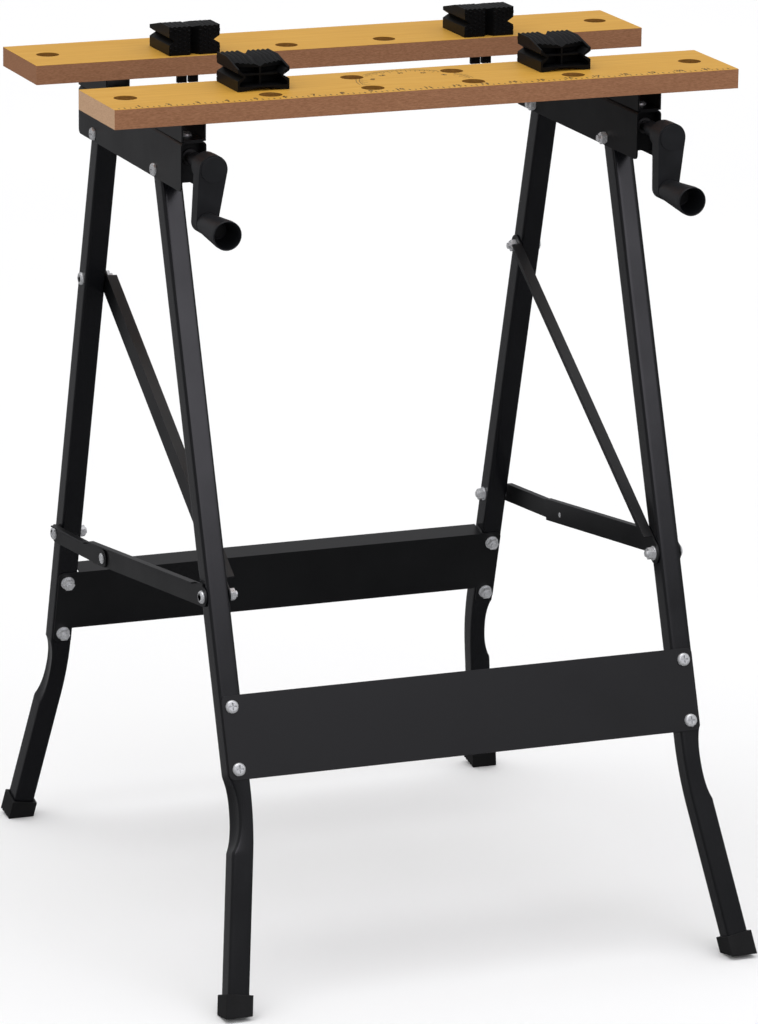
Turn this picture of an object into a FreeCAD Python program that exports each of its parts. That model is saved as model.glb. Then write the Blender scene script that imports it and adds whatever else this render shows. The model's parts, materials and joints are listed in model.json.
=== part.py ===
import FreeCAD, Part
import math
import os

# Folding clamping workbench. Millimetres, +Z up, +X along the boards to the right, -Y to the front.
# The origin is on the floor under the middle of the feet.

V = FreeCAD.Vector

# Boards
BOARD_LEN = 600.0
BOARD_W = 98.0
BOARD_T = 18.0
TOP_Z = 791.0
FRONT_BOARD_Y = -95.0
REAR_BOARD_Y = 121.5
HOLE_R = 10.5
END_HOLE_X = 273.0
HOLE_COLS = (48.5, 146.0)
FRONT_ROWS = (-26.0, 26.0)
REAR_ROWS = (-24.0,)

# Top brackets: inverted channels that hold the leg pivots and the clamp screws
SIDE_X = 220.0
BRACKET_W = 24.0
BRACKET_H = 45.0
BRACKET_Y0 = -126.0
BRACKET_Y1 = 155.0
SHEET = 1.5
BRACKET_TOP = 754.0
BEARING_T = 2.0
SLIDE_GAP = 0.3
JAW_TRAVEL = 116.0

# Clamp screws and cranks
SCREW_Z = 738.5
SCREW_R = 5.0
CRANK_FRONT_Y = -177.0
CRANK_T = 14.0
CRANK_THROW = 48.0
HUB_R = 13.3
TIP_R = 10.0
BOSS_LEN = 7.0
SLEEVE_R = 7.0
KNOB_LEN = 52.0
KNOB_R0 = 9.8
KNOB_R1 = 13.3
KNOB_RIM = 1.3
KNOB_RECESS = 26.0
LEFT_CRANK_TURN = 7.0
RIGHT_CRANK_TURN = -3.0

# Legs: bent square tubes on pivots in the brackets
TUBE = 20.0
TUBE_WALL = 1.4
FRONT_PIVOT_Y = -55.0
REAR_PIVOT_Y = 113.0
PIVOT_Z = 716.0
FOOT_Y = 310.0
FOOT_OUT = 26.0
BEND_UP = 172.0
LEG_TOP = 8.5
FOOT_WALL = 2.6
FOOT_H = 20.5
SOLE_T = 3.0
SOLE_RISE = 4.2

# Crossbars on the front faces of both leg pairs
BAR_HALF = 229.0
BAR_T = 1.4
BAR_FLANGE = 20.0
FLANGE_HALF = 208.5
TAB_INNER = 211.0
BAR_BOLT_PITCH = 56.0
FRONT_BAR_Z = (475.2, 550.7)
REAR_BAR_Z = (464.4, 526.6)
REAR_TAB_END = 540.5
FRONT_BOLT_MID = 513.5
REAR_BOLT_MID = 503.0
TOOL_HOLES_X = (88.0, 151.0)
TOOL_HOLE_R = 6.5
TOOL_SLOT_LEN = 42.0

# Braces: pivots D on the front leg, C and E on the rear leg, and the knee rivet F
D_DOWN = 385.3
C_DOWN = 150.4
E_DOWN = 425.2
REAR_LINK_LEN = 141.1
KNEE_DROP = 3.9
BRACE_T = 1.5
BRACE_GAP = 0.3
STOP_TAIL = 34.0

# Clamping pegs
PEG_W = 49.0
PEG_D = 54.5
PEG_H = 27.0
PEG_REAR_H = 20.5
PEG_FLAT_D = 25.0
PEG_TOP_D = 38.5
PEG_WEB_D = 45.0
PEG_WAIST_Z = 13.3
PEG_WAIST_IN = 5.8
PEG_WALL = 1.8
PEG_FLOOR = 4.4
PEG_TEETH = 5
PEG_TOOTH_PITCH = 4.65
PEG_TOOTH_H = 1.1
PEG_TOOTH_FLAT = 1.0
PEG_DIP = 2.2
PEG_GROOVE_W = 9.4
PEG_GROOVE_D = 6.8
PEG_ARCH_H = 3.0
PEG_PIN_BACK = 20.0
PEG_PIN_R = 10.2
PEG_PIN_LEN = 29.0
PEG_BLADE_HALF = 2.5

# Fasteners
BOLT_R = 3.0
HEAD_R = 6.0
HEAD_H = 3.0
NUT_AF = 10.0
NUT_H = 5.0
WASHER_R = 6.6
WASHER_T = 1.2

os.makedirs("parts", exist_ok=True)


def box(x0, x1, y0, y1, z0, z1):
    return Part.makeBox(x1 - x0, y1 - y0, z1 - z0, V(x0, y0, z0))


def rod(p, d, r, length):
    return Part.makeCylinder(r, length, V(*p), V(*d))


def prism(points, sweep):
    wire = Part.makePolygon([V(*p) for p in points] + [V(*points[0])])
    return Part.Face(wire).extrude(V(*sweep))


def mirrored(shape):
    return shape.mirror(V(0, 0, 0), V(1, 0, 0))


def placed(shape, placement):
    copy = shape.copy()
    copy.Placement = placement.multiply(copy.Placement)
    return copy


def save(name, shapes):
    solids = [s for shape in shapes for s in shape.Solids]
    shape = solids[0] if len(solids) == 1 else Part.makeCompound(solids)
    shape.exportStep("parts/" + name + ".step")


def save_pair(name, shapes):
    """The right-hand part, and its mirror image on the left."""
    save("right_" + name, shapes)
    save("left_" + name, [mirrored(s) for s in shapes])


def edges_along(shape, axis, test):
    """Straight edges parallel to an axis whose middle passes the test."""
    found = []
    for edge in shape.Edges:
        if len(edge.Vertexes) != 2:
            continue
        run = edge.Vertexes[1].Point - edge.Vertexes[0].Point
        if run.Length < 1e-6 or abs(run.normalize().dot(V(*axis))) < 0.999:
            continue
        mid = (edge.Vertexes[0].Point + edge.Vertexes[1].Point) * 0.5
        if test(mid):
            found.append(edge)
    return found


# Fasteners, built along +Z with the clamped face at the origin

def aim(shape, p, d):
    return placed(shape, FreeCAD.Placement(V(*p), FreeCAD.Rotation(V(0, 0, 1), V(*d))))


def bolt(p, d, length):
    """Pan-head bolt: p is under the head and d points along the shank."""
    head = Part.makeCylinder(HEAD_R, HEAD_H, V(0, 0, -HEAD_H))
    rim = [e for e in head.Edges if abs(e.BoundBox.ZMax + HEAD_H) < 1e-6 and e.BoundBox.XLength > 1]
    head = head.makeFillet(2.2, rim)
    for w, l in ((1.4, 7.0), (7.0, 1.4)):
        head = head.cut(box(-w / 2, w / 2, -l / 2, l / 2, -HEAD_H, -HEAD_H + 1.6))
    shank = Part.makeCylinder(BOLT_R, length)
    return aim(head.fuse(shank), p, d)


def stub(p, d, length):
    return rod(p, d, BOLT_R, length)


def nut(p, d):
    r = NUT_AF / 2 / math.cos(math.pi / 6)
    ring = [(r * math.cos(k * math.pi / 3), r * math.sin(k * math.pi / 3), 0) for k in range(6)]
    body = prism(ring, (0, 0, NUT_H))
    cone = Part.makeCone(r + NUT_H, r - 0.7, NUT_H + 0.7)
    body = body.common(Part.makeCylinder(r + 1, NUT_H)).common(cone)
    return aim(body.cut(Part.makeCylinder(BOLT_R + 0.05, NUT_H)), p, d)


def washer(p, d, r=WASHER_R, t=WASHER_T):
    ring = Part.makeCylinder(r, t).cut(Part.makeCylinder(BOLT_R + 0.08, t))
    return aim(ring, p, d)


# Boards

def board(y_mid, rows):
    y0 = y_mid - BOARD_W / 2
    slab = box(-BOARD_LEN / 2, BOARD_LEN / 2, y0, y0 + BOARD_W, TOP_Z - BOARD_T, TOP_Z)
    spots = [(s * END_HOLE_X, y_mid) for s in (-1, 1)]
    spots += [(s * x, y_mid + row) for s in (-1, 1) for x in HOLE_COLS for row in rows]
    for x, y in spots:
        slab = slab.cut(rod((x, y, TOP_Z - BOARD_T - 1), (0, 0, 1), HOLE_R, BOARD_T + 2))
    return slab


save("front_board", [board(FRONT_BOARD_Y, FRONT_ROWS)])
save("rear_board", [board(REAR_BOARD_Y, REAR_ROWS)])

# Brackets: channel open below, with a bearing plate at each end for the screw
BX0 = SIDE_X - BRACKET_W / 2
BX1 = SIDE_X + BRACKET_W / 2
BRACKET_BOTTOM = BRACKET_TOP - BRACKET_H
FRONT_BEARING_Y = BRACKET_Y0 + 12
REAR_BEARING_Y = BRACKET_Y1 - 7
SLOT_W = 9.0
NECK_W = 8.0
NUT_Y = REAR_BOARD_Y + 8
NUT_HALF = 10.0


def channel():
    outer = box(BX0, BX1, BRACKET_Y0, BRACKET_Y1, BRACKET_BOTTOM, BRACKET_TOP)
    outer = outer.makeFillet(4.5, edges_along(outer, (0, 1, 0), lambda m: m.z > BRACKET_TOP - 1))
    inner = box(BX0 + SHEET, BX1 - SHEET, BRACKET_Y0 - 1, BRACKET_Y1 + 1,
                BRACKET_BOTTOM - 1, BRACKET_TOP - SHEET)
    inner = inner.makeFillet(3.0, edges_along(inner, (0, 1, 0), lambda m: m.z > BRACKET_TOP - 3))
    shell = outer.cut(inner)
    for y in (BRACKET_Y0, BRACKET_Y1):
        low = edges_along(shell, (1, 0, 0), lambda m, y=y: abs(m.y - y) < 0.1 and m.z < BRACKET_BOTTOM + 1)
        shell = shell.makeFillet(5.0, low)
    for y in (FRONT_PIVOT_Y, REAR_PIVOT_Y):
        shell = shell.cut(rod((BX0 - 1, y, PIVOT_Z), (1, 0, 0), BOLT_R + 0.1, BRACKET_W + 2))
    slot = box(SIDE_X - SLOT_W / 2, SIDE_X + SLOT_W / 2, NUT_Y - JAW_TRAVEL - NUT_HALF,
               NUT_Y + NUT_HALF, BRACKET_TOP - 5, BRACKET_TOP + 1)
    slot = slot.makeFillet(SLOT_W / 2 - 0.01, edges_along(slot, (0, 0, 1), lambda m: True))
    shell = shell.cut(slot)
    for y in (FRONT_BEARING_Y, REAR_BEARING_Y):
        plate = box(BX0 + SHEET, BX1 - SHEET, y, y + BEARING_T, BRACKET_BOTTOM + 6, BRACKET_TOP - SHEET)
        shell = shell.fuse(plate)
    for y, r in ((FRONT_BEARING_Y, SCREW_R), (REAR_BEARING_Y, SCREW_R - 1)):
        shell = shell.cut(rod((SIDE_X, y - 1, SCREW_Z), (0, 1, 0), r + 0.1, BEARING_T + 2))
    for y in FRONT_CARRIER_BOLTS:
        shell = shell.cut(rod((SIDE_X, y, BRACKET_TOP - 5), (0, 0, 1), BOLT_R + 0.1, 10))
    return shell.removeSplitter()


# Carriers: short tubes between the brackets and the boards
FRONT_CARRIER = (BRACKET_Y0, FRONT_BOARD_Y + BOARD_W / 2 - 4)
REAR_CARRIER = (REAR_BOARD_Y - BOARD_W / 2 + 6, REAR_BOARD_Y + BOARD_W / 2 - 14)
FRONT_CARRIER_BOLTS = (BRACKET_Y0 + 22, FRONT_CARRIER[1] - 14)
CARRIER_HALF = 11.5


def carrier(y0, y1, z0, bolts):
    z1 = TOP_Z - BOARD_T
    tube = box(SIDE_X - CARRIER_HALF, SIDE_X + CARRIER_HALF, y0, y1, z0, z1)
    hollow = box(SIDE_X - CARRIER_HALF + SHEET, SIDE_X + CARRIER_HALF - SHEET, y0 - 1, y1 + 1,
                 z0 + SHEET, z1 - SHEET)
    tube = tube.cut(hollow)
    for y in bolts:
        tube = tube.cut(rod((SIDE_X, y, z0 - 1), (0, 0, 1), BOLT_R + 0.1, SHEET + 2))
    return tube


save_pair("bracket", [channel()])
save_pair("front_carrier", [carrier(FRONT_CARRIER[0], FRONT_CARRIER[1], BRACKET_TOP, FRONT_CARRIER_BOLTS)])
save_pair("rear_carrier", [carrier(REAR_CARRIER[0], REAR_CARRIER[1], BRACKET_TOP + SLIDE_GAP, (NUT_Y,))])

carrier_bolts = [bolt((SIDE_X, y, BRACKET_TOP + SHEET), (0, 0, -1), 9.0) for y in FRONT_CARRIER_BOLTS]
carrier_nuts = [nut((SIDE_X, y, BRACKET_TOP - SHEET), (0, 0, -1)) for y in FRONT_CARRIER_BOLTS]
save_pair("carrier_bolts", carrier_bolts + carrier_nuts)

# Clamp nut: a block in the channel with a neck through the slot, bolted to the rear carrier
block = box(SIDE_X - 9, SIDE_X + 9, NUT_Y - 7, NUT_Y + 7, SCREW_Z - 6.5, SCREW_Z + 9.5)
neck = box(SIDE_X - NECK_W / 2, SIDE_X + NECK_W / 2, NUT_Y - 6, NUT_Y + 6,
           SCREW_Z + 9.5, BRACKET_TOP + SLIDE_GAP)
clamp_nut = block.fuse(neck)
clamp_nut = clamp_nut.cut(rod((SIDE_X, NUT_Y - 8, SCREW_Z), (0, 1, 0), SCREW_R + 0.08, 16))
clamp_nut = clamp_nut.cut(rod((SIDE_X, NUT_Y, SCREW_Z + 7), (0, 0, 1), BOLT_R + 0.02, 20))
save_pair("clamp_nut", [clamp_nut])
save_pair("clamp_nut_bolt", [bolt((SIDE_X, NUT_Y, BRACKET_TOP + SLIDE_GAP + SHEET), (0, 0, -1), 10.0)])

# Clamp screw with a collar each side of the front bearing and a turned-down rear end
SCREW_END_Y = REAR_BEARING_Y + BEARING_T + 2
screw = rod((SIDE_X, CRANK_FRONT_Y + 3, SCREW_Z), (0, 1, 0), SCREW_R, REAR_BEARING_Y - 1 - CRANK_FRONT_Y - 3)
screw_tail = SCREW_END_Y - REAR_BEARING_Y + 1
screw = screw.fuse(rod((SIDE_X, REAR_BEARING_Y - 1, SCREW_Z), (0, 1, 0), SCREW_R - 1, screw_tail))
for y in (FRONT_BEARING_Y - 2.7, FRONT_BEARING_Y + BEARING_T + 0.3):
    screw = screw.fuse(rod((SIDE_X, y, SCREW_Z), (0, 1, 0), SCREW_R + 2.5, 2.4))
save_pair("clamp_screw", [screw.removeSplitter()])

# Crank: hub sleeve, tapered arm and grip pin
arm_y1 = CRANK_FRONT_Y + CRANK_T


def crank_arm():
    tip_z = SCREW_Z - CRANK_THROW
    lean = math.asin((HUB_R - TIP_R) / CRANK_THROW)
    c = math.cos(lean)
    s = math.sin(lean)
    side = [(SIDE_X - HUB_R * c, CRANK_FRONT_Y, SCREW_Z - HUB_R * s),
            (SIDE_X + HUB_R * c, CRANK_FRONT_Y, SCREW_Z - HUB_R * s),
            (SIDE_X + TIP_R * c, CRANK_FRONT_Y, tip_z - TIP_R * s),
            (SIDE_X - TIP_R * c, CRANK_FRONT_Y, tip_z - TIP_R * s)]
    arm = prism(side, (0, CRANK_T, 0))
    arm = arm.fuse(rod((SIDE_X, CRANK_FRONT_Y, SCREW_Z), (0, 1, 0), HUB_R, CRANK_T))
    arm = arm.fuse(rod((SIDE_X, CRANK_FRONT_Y, tip_z), (0, 1, 0), TIP_R, CRANK_T))
    sleeve_len = BRACKET_Y0 - 3 - arm_y1
    arm = arm.fuse(rod((SIDE_X, arm_y1, SCREW_Z), (0, 1, 0), HUB_R - 0.3, BOSS_LEN))
    arm = arm.fuse(rod((SIDE_X, arm_y1, SCREW_Z), (0, 1, 0), SLEEVE_R, sleeve_len))
    arm = arm.fuse(rod((SIDE_X, CRANK_FRONT_Y - 0.8, SCREW_Z), (0, 1, 0), HUB_R - 1.8, 0.8))
    arm = arm.cut(rod((SIDE_X, CRANK_FRONT_Y + 3, SCREW_Z), (0, 1, 0), SCREW_R + 0.03, 60))
    arm = arm.cut(rod((SIDE_X, CRANK_FRONT_Y - 1, tip_z), (0, 1, 0), 4.03, CRANK_T + 2))
    return arm.removeSplitter()


def grip_pin():
    tip_z = SCREW_Z - CRANK_THROW
    head_y = CRANK_FRONT_Y - KNOB_LEN + KNOB_RECESS
    pin = rod((SIDE_X, head_y, tip_z), (0, 1, 0), 4.0, KNOB_LEN - KNOB_RECESS + CRANK_T)
    return pin.fuse(rod((SIDE_X, head_y - 3, tip_z), (0, 1, 0), 5.5, 3))


def knob():
    tip_z = SCREW_Z - CRANK_THROW
    y0 = CRANK_FRONT_Y - 0.4
    body = Part.makeCone(KNOB_R0, KNOB_R1, KNOB_LEN - 6, V(SIDE_X, y0, tip_z), V(0, -1, 0))
    body = body.fuse(rod((SIDE_X, y0 - KNOB_LEN + 6, tip_z), (0, -1, 0), KNOB_R1, 6))
    body = body.cut(rod((SIDE_X, y0 + 1, tip_z), (0, -1, 0), 4.1, KNOB_LEN + 2))
    recess_y = CRANK_FRONT_Y - KNOB_LEN + KNOB_RECESS + 0.2
    mouth_y = CRANK_FRONT_Y - KNOB_LEN + 8
    body = body.cut(rod((SIDE_X, recess_y, tip_z), (0, -1, 0), KNOB_R0 - KNOB_RIM, 60))
    body = body.cut(Part.makeCone(KNOB_R0 - KNOB_RIM, KNOB_R1 - KNOB_RIM, recess_y - mouth_y,
                                  V(SIDE_X, recess_y, tip_z), V(0, -1, 0)))
    body = body.cut(rod((SIDE_X, mouth_y, tip_z), (0, -1, 0), KNOB_R1 - KNOB_RIM, 20))
    return body.removeSplitter()


def turned(shape, degrees):
    """Turn a right-hand crank piece about its screw. A negative angle swings its tip outward."""
    copy = shape.copy()
    copy.rotate(V(SIDE_X, 0, SCREW_Z), V(0, 1, 0), degrees)
    return copy


for name, shape in (("crank", crank_arm()), ("grip_pin", grip_pin()), ("grip", knob())):
    save("left_" + name, [mirrored(turned(shape, -LEFT_CRANK_TURN))])
    save("right_" + name, [turned(shape, -RIGHT_CRANK_TURN)])


# Legs. In a leg's own frame x is world X, y points out of its front face and z runs down the leg.

class LegFrame:
    def __init__(self, pivot_y, foot_y):
        self.pivot = V(0, pivot_y, PIVOT_Z)
        self.length = math.hypot(foot_y - pivot_y, PIVOT_Z)
        self.down = V(0, (foot_y - pivot_y) / self.length, -PIVOT_Z / self.length)
        self.out = V(0, self.down.z, -self.down.y)
        d = self.down
        n = self.out
        m = FreeCAD.Matrix(1, 0, 0, 0, 0, n.y, d.y, pivot_y, 0, n.z, d.z, PIVOT_Z, 0, 0, 0, 1)
        self.placement = FreeCAD.Placement(m)

    def at(self, x, y, z):
        return self.placement.multVec(V(x, y, z))

    def world(self, shape):
        return placed(shape, self.placement)


FRONT = LegFrame(FRONT_PIVOT_Y, -FOOT_Y)
REAR = LegFrame(REAR_PIVOT_Y, FOOT_Y)


def leg_bar(leg, half, start, stop):
    """The bent bar of a leg, 2*half square, from start to stop along the leg."""
    bend = leg.length - BEND_UP
    tilt = math.atan2(FOOT_OUT, BEND_UP)
    side = half / math.cos(tilt / 2)
    mitre = V(math.cos(tilt / 2), 0, -math.sin(tilt / 2)) * side
    knee = V(SIDE_X, 0, bend)
    run = V(math.sin(tilt), 0, math.cos(tilt))
    across = V(math.cos(tilt), 0, -math.sin(tilt)) * half
    outline = []
    if start < bend:
        top = V(SIDE_X, 0, start)
        outline = [top - V(half, 0, 0), top + V(half, 0, 0), knee + mitre]
        closing = [knee - mitre]
    else:
        top = knee + run * ((start - bend) / math.cos(tilt))
        outline = [top - across, top + across]
        closing = []
    low = knee + run * ((stop - bend) / math.cos(tilt))
    points = outline + [low + across, low - across] + closing
    points = [(p.x, -half, p.z) for p in points]
    return prism(points, (0, 2 * half, 0))


FOOT_HALF = TUBE / 2 + FOOT_WALL
SOLE_SLOPE = SOLE_RISE / (2 * FOOT_HALF)


def above(shape, leg, z):
    """What of a leg lies over its sole plane, moved up by z. Only the sole's inner edge is at z."""
    way = math.copysign(1, leg.down.y)
    inner = way * (FOOT_Y - FOOT_HALF) + leg.out.z * FOOT_HALF * SOLE_SLOPE
    run = way * 1200
    low = [(-500, inner - run, z - 1200 * SOLE_SLOPE), (-500, inner + run, z + 1200 * SOLE_SLOPE)]
    return shape.common(prism(low + [(-500, inner + run, 1200), (-500, inner - run, 1200)], (1000, 0, 0)))


def leg_tube(leg, holes):
    stop = leg.length + 30
    outer = leg_bar(leg, TUBE / 2, -LEG_TOP, stop)
    corners = [e for e in outer.Edges if abs(abs(e.CenterOfMass.y) - TUBE / 2) < 1e-6
               and e.Length > 60]
    outer = outer.makeFillet(2.0, corners)
    inner = leg_bar(leg, TUBE / 2 - TUBE_WALL, -LEG_TOP - 5, stop + 5)
    tube = above(leg.world(outer.cut(inner)), leg, SOLE_T)
    for x_hole, r in holes:
        p = leg.at(SIDE_X - 15, 0, x_hole)
        tube = tube.cut(rod(tuple(p), (1, 0, 0), r, 30))
    return tube


def foot(leg):
    """Rubber cap with grooves across its sole."""
    outer = leg.world(leg_bar(leg, FOOT_HALF, leg.length - FOOT_H, leg.length + 30))
    tube = leg.world(leg_bar(leg, TUBE / 2 + 0.02, leg.length - FOOT_H - 10, leg.length + 30))
    cap = above(outer, leg, 0).cut(above(tube, leg, SOLE_T))
    way = math.copysign(1, leg.down.y)
    for k in range(4):
        y = 5.0 + 5.4 * k
        groove = box(-500, 500, -1, 1, -5, 1.2)
        groove.rotate(V(0, 0, 0), V(1, 0, 0), way * math.degrees(math.atan(SOLE_SLOPE)))
        groove.translate(V(0, way * (FOOT_Y - FOOT_HALF + y), y * SOLE_SLOPE))
        cap = cap.cut(groove)
    return cap


def bar_bolt_spots(middle):
    return [middle - BAR_BOLT_PITCH / 2, middle + BAR_BOLT_PITCH / 2]


def crossbar(leg, span, tab_end, middle, tool_holes):
    """Channel across a leg pair. Its end tabs, in front of the tubes, reach down to tab_end."""
    z0, z1 = span
    y0 = TUBE / 2
    web = box(-BAR_HALF, BAR_HALF, y0, y0 + BAR_T, z0, tab_end)
    web = web.makeFillet(5.0, edges_along(web, (0, 1, 0), lambda m: True))
    web = web.cut(box(-TAB_INNER, TAB_INNER, y0 - 1, y0 + BAR_T + 1, z1, tab_end + 1))
    y_back = y0 + BAR_T - BAR_FLANGE
    for z in (z0, z1 - BAR_T):
        web = web.fuse(box(-FLANGE_HALF, FLANGE_HALF, y_back, y0 + BAR_T, z, z + BAR_T))
    y_mid = (y_back + y0) / 2
    if tool_holes:
        for x in [s * t for s in (-1, 1) for t in TOOL_HOLES_X]:
            web = web.cut(rod((x, y_mid, z0 - 1), (0, 0, 1), TOOL_HOLE_R, z1 - z0 + 2))
        slot = box(-TOOL_SLOT_LEN / 2, TOOL_SLOT_LEN / 2, y_mid - TOOL_HOLE_R, y_mid + TOOL_HOLE_R,
                   z0 - 1, z1 + 1)
        slot = slot.makeFillet(TOOL_HOLE_R - 0.01, edges_along(slot, (0, 0, 1), lambda m: True))
        web = web.cut(slot)
    for x in (-SIDE_X, SIDE_X):
        for z in bar_bolt_spots(middle):
            web = web.cut(rod((x, y0 - 1, z), (0, 1, 0), BOLT_R + 0.1, BAR_T + 2))
    return leg.world(web.removeSplitter())


def drilled_leg(leg, cross_holes, middle):
    tube = leg_tube(leg, cross_holes)
    for z in bar_bolt_spots(middle):
        p = leg.at(SIDE_X, -TUBE, z)
        tube = tube.cut(rod(tuple(p), tuple(leg.out), BOLT_R + 0.1, 2 * TUBE))
    return tube


PIVOT_FIT = BOLT_R + 0.08
save_pair("front_leg", [drilled_leg(FRONT, [(0, PIVOT_FIT), (D_DOWN, PIVOT_FIT)], FRONT_BOLT_MID)])
rear_holes = [(0, PIVOT_FIT), (C_DOWN, PIVOT_FIT), (E_DOWN, PIVOT_FIT)]
save_pair("rear_leg", [drilled_leg(REAR, rear_holes, REAR_BOLT_MID)])
save_pair("front_foot", [foot(FRONT)])
save_pair("rear_foot", [foot(REAR)])
save("front_crossbar", [crossbar(FRONT, FRONT_BAR_Z, FRONT_BAR_Z[1], FRONT_BOLT_MID, True)])
save("rear_crossbar", [crossbar(REAR, REAR_BAR_Z, REAR_TAB_END, REAR_BOLT_MID, False)])

# Crossbar fasteners: heads in front on the front legs, and behind on the rear legs
face = TUBE / 2 + BAR_T
for side, x in (("left", -SIDE_X), ("right", SIDE_X)):
    front_set = []
    for z in bar_bolt_spots(FRONT_BOLT_MID):
        front_set.append(bolt(tuple(FRONT.at(x, face, z)), tuple(-FRONT.out), TUBE + BAR_T + 9))
        front_set.append(nut(tuple(FRONT.at(x, -TUBE / 2, z)), tuple(-FRONT.out)))
    save(side + "_front_bar_bolts", front_set)
    rear_set = []
    for z in bar_bolt_spots(REAR_BOLT_MID):
        rear_set.append(bolt(tuple(REAR.at(x, -TUBE / 2, z)), tuple(REAR.out), TUBE + BAR_T + WASHER_T + 7))
        rear_set.append(washer(tuple(REAR.at(x, face, z)), tuple(REAR.out)))
        rear_set.append(nut(tuple(REAR.at(x, face + WASHER_T, z)), tuple(REAR.out)))
    save(side + "_rear_bar_bolts", rear_set)

# Leg pivot bolts through the brackets
pivots = []
for y in (FRONT_PIVOT_Y, REAR_PIVOT_Y):
    pivots.append(bolt((BX1, y, PIVOT_Z), (-1, 0, 0), BRACKET_W + 8))
    pivots.append(nut((BX0, y, PIVOT_Z), (-1, 0, 0)))
save_pair("pivot_bolts", pivots)


# Braces. A link's own frame has x from its front pivot to its rear one, y up and z along world X.

class LinkFrame:
    def __init__(self, start, end):
        run = end - start
        self.length = run.Length
        a = run.normalize()
        m = FreeCAD.Matrix(0, 0, 1, 0, a.y, -a.z, 0, start.y, a.z, a.y, 0, start.z, 0, 0, 0, 1)
        self.placement = FreeCAD.Placement(m)

    def world(self, shape):
        return placed(shape, self.placement)


D = FRONT.at(0, 0, D_DOWN)
C = REAR.at(0, 0, C_DOWN)
E = REAR.at(0, 0, E_DOWN)
toward = (D - E).normalize()
below = V(0, -toward.z, toward.y)
along = math.sqrt(REAR_LINK_LEN ** 2 - KNEE_DROP ** 2)
F = E + toward * along + below * KNEE_DROP


def link(frame, z0, low, high, flange, flange_z, tail, holes):
    """Angle-section link: web from z0, and a flange along its upper edge over the flange span."""
    stop = frame.length + tail
    web = box(0, stop, -low, high, z0, z0 + BRACE_T)
    nose = Part.makeCylinder(low, BRACE_T, V(0, 0, z0))
    if abs(tail) < 1e-6:
        web = web.fuse(Part.makeCylinder(low, BRACE_T, V(stop, 0, z0)))
    web = web.fuse(nose)
    web = web.fuse(box(flange[0], flange[1], high - BRACE_T, high, flange_z[0], flange_z[1]))
    for x, r in holes:
        web = web.cut(Part.makeCylinder(r, 40, V(x, 0, z0 - 20)))
    return frame.world(web.removeSplitter())


INNER_FACE = SIDE_X - TUBE / 2
OUTER_FACE = SIDE_X + TUBE / 2
diag_z0 = INNER_FACE - BRACE_GAP - BRACE_T
front_z0 = OUTER_FACE + BRACE_GAP
rear_z0 = front_z0 + BRACE_T + BRACE_GAP
diagonal = LinkFrame(D, C)
front_link = LinkFrame(D, F)
rear_link = LinkFrame(F, E)

save_pair("diagonal", [link(diagonal, diag_z0, 10, 10, (12, diagonal.length - 8),
                            (diag_z0 + BRACE_T - 10, diag_z0 + BRACE_T), 0,
                            [(0, PIVOT_FIT), (diagonal.length, BOLT_R + 0.02)])])
save_pair("front_knee_link", [link(front_link, front_z0, 9, 11.8, (16, front_link.length + STOP_TAIL),
                                   (front_z0, front_z0 + 6.5), STOP_TAIL,
                                   [(0, PIVOT_FIT), (front_link.length, 2.55)])])
save_pair("rear_knee_link", [link(rear_link, rear_z0, 8.7, 8.7, (STOP_TAIL + 6, rear_link.length - 4),
                                  (rear_z0, rear_z0 + 6.5), 0,
                                  [(0, 2.6), (rear_link.length, BOLT_R + 0.02)])])

# Brace hardware. D is whole; C and E are each cut at the leg face, because those pivots are open.
d_head_x = front_z0 + BRACE_T + 0.2
d_set = [bolt((d_head_x, D.y, D.z), (-1, 0, 0), 32.5),
         washer((diag_z0 - 0.2, D.y, D.z), (-1, 0, 0)),
         nut((diag_z0 - 0.2 - WASHER_T, D.y, D.z), (-1, 0, 0))]
save_pair("front_brace_bolt", d_set)
rear_set = [bolt((OUTER_FACE, C.y, C.z), (-1, 0, 0), TUBE - 0.1),
            stub((OUTER_FACE + 1.3, E.y, E.z), (-1, 0, 0), TUBE + 1.3 + 8),
            washer((OUTER_FACE, E.y, E.z), (1, 0, 0), WASHER_R, 1.3),
            washer((INNER_FACE, E.y, E.z), (-1, 0, 0)),
            nut((INNER_FACE - WASHER_T, E.y, E.z), (-1, 0, 0))]
save_pair("rear_brace_bolts", rear_set)
save_pair("diagonal_end_nut", [stub((diag_z0 + BRACE_T, C.y, C.z), (-1, 0, 0), 9.5),
                               nut((diag_z0, C.y, C.z), (-1, 0, 0))])
save_pair("knee_rivet", [rod((front_z0 - 0.2, F.y, F.z), (1, 0, 0), 2.5, 3.8).fuse(
    rod((rear_z0 + BRACE_T + 0.1, F.y, F.z), (1, 0, 0), 5.0, 1.6))])
save_pair("rear_link_bolt", [bolt((rear_z0 + BRACE_T, E.y, E.z), (-1, 0, 0), BRACE_T)])


# Clamping peg: waisted block on a split pin, hollow behind, with ridges along its falling top.
# Its clamp face is at y = 0, and its underside at z = 0.

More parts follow.
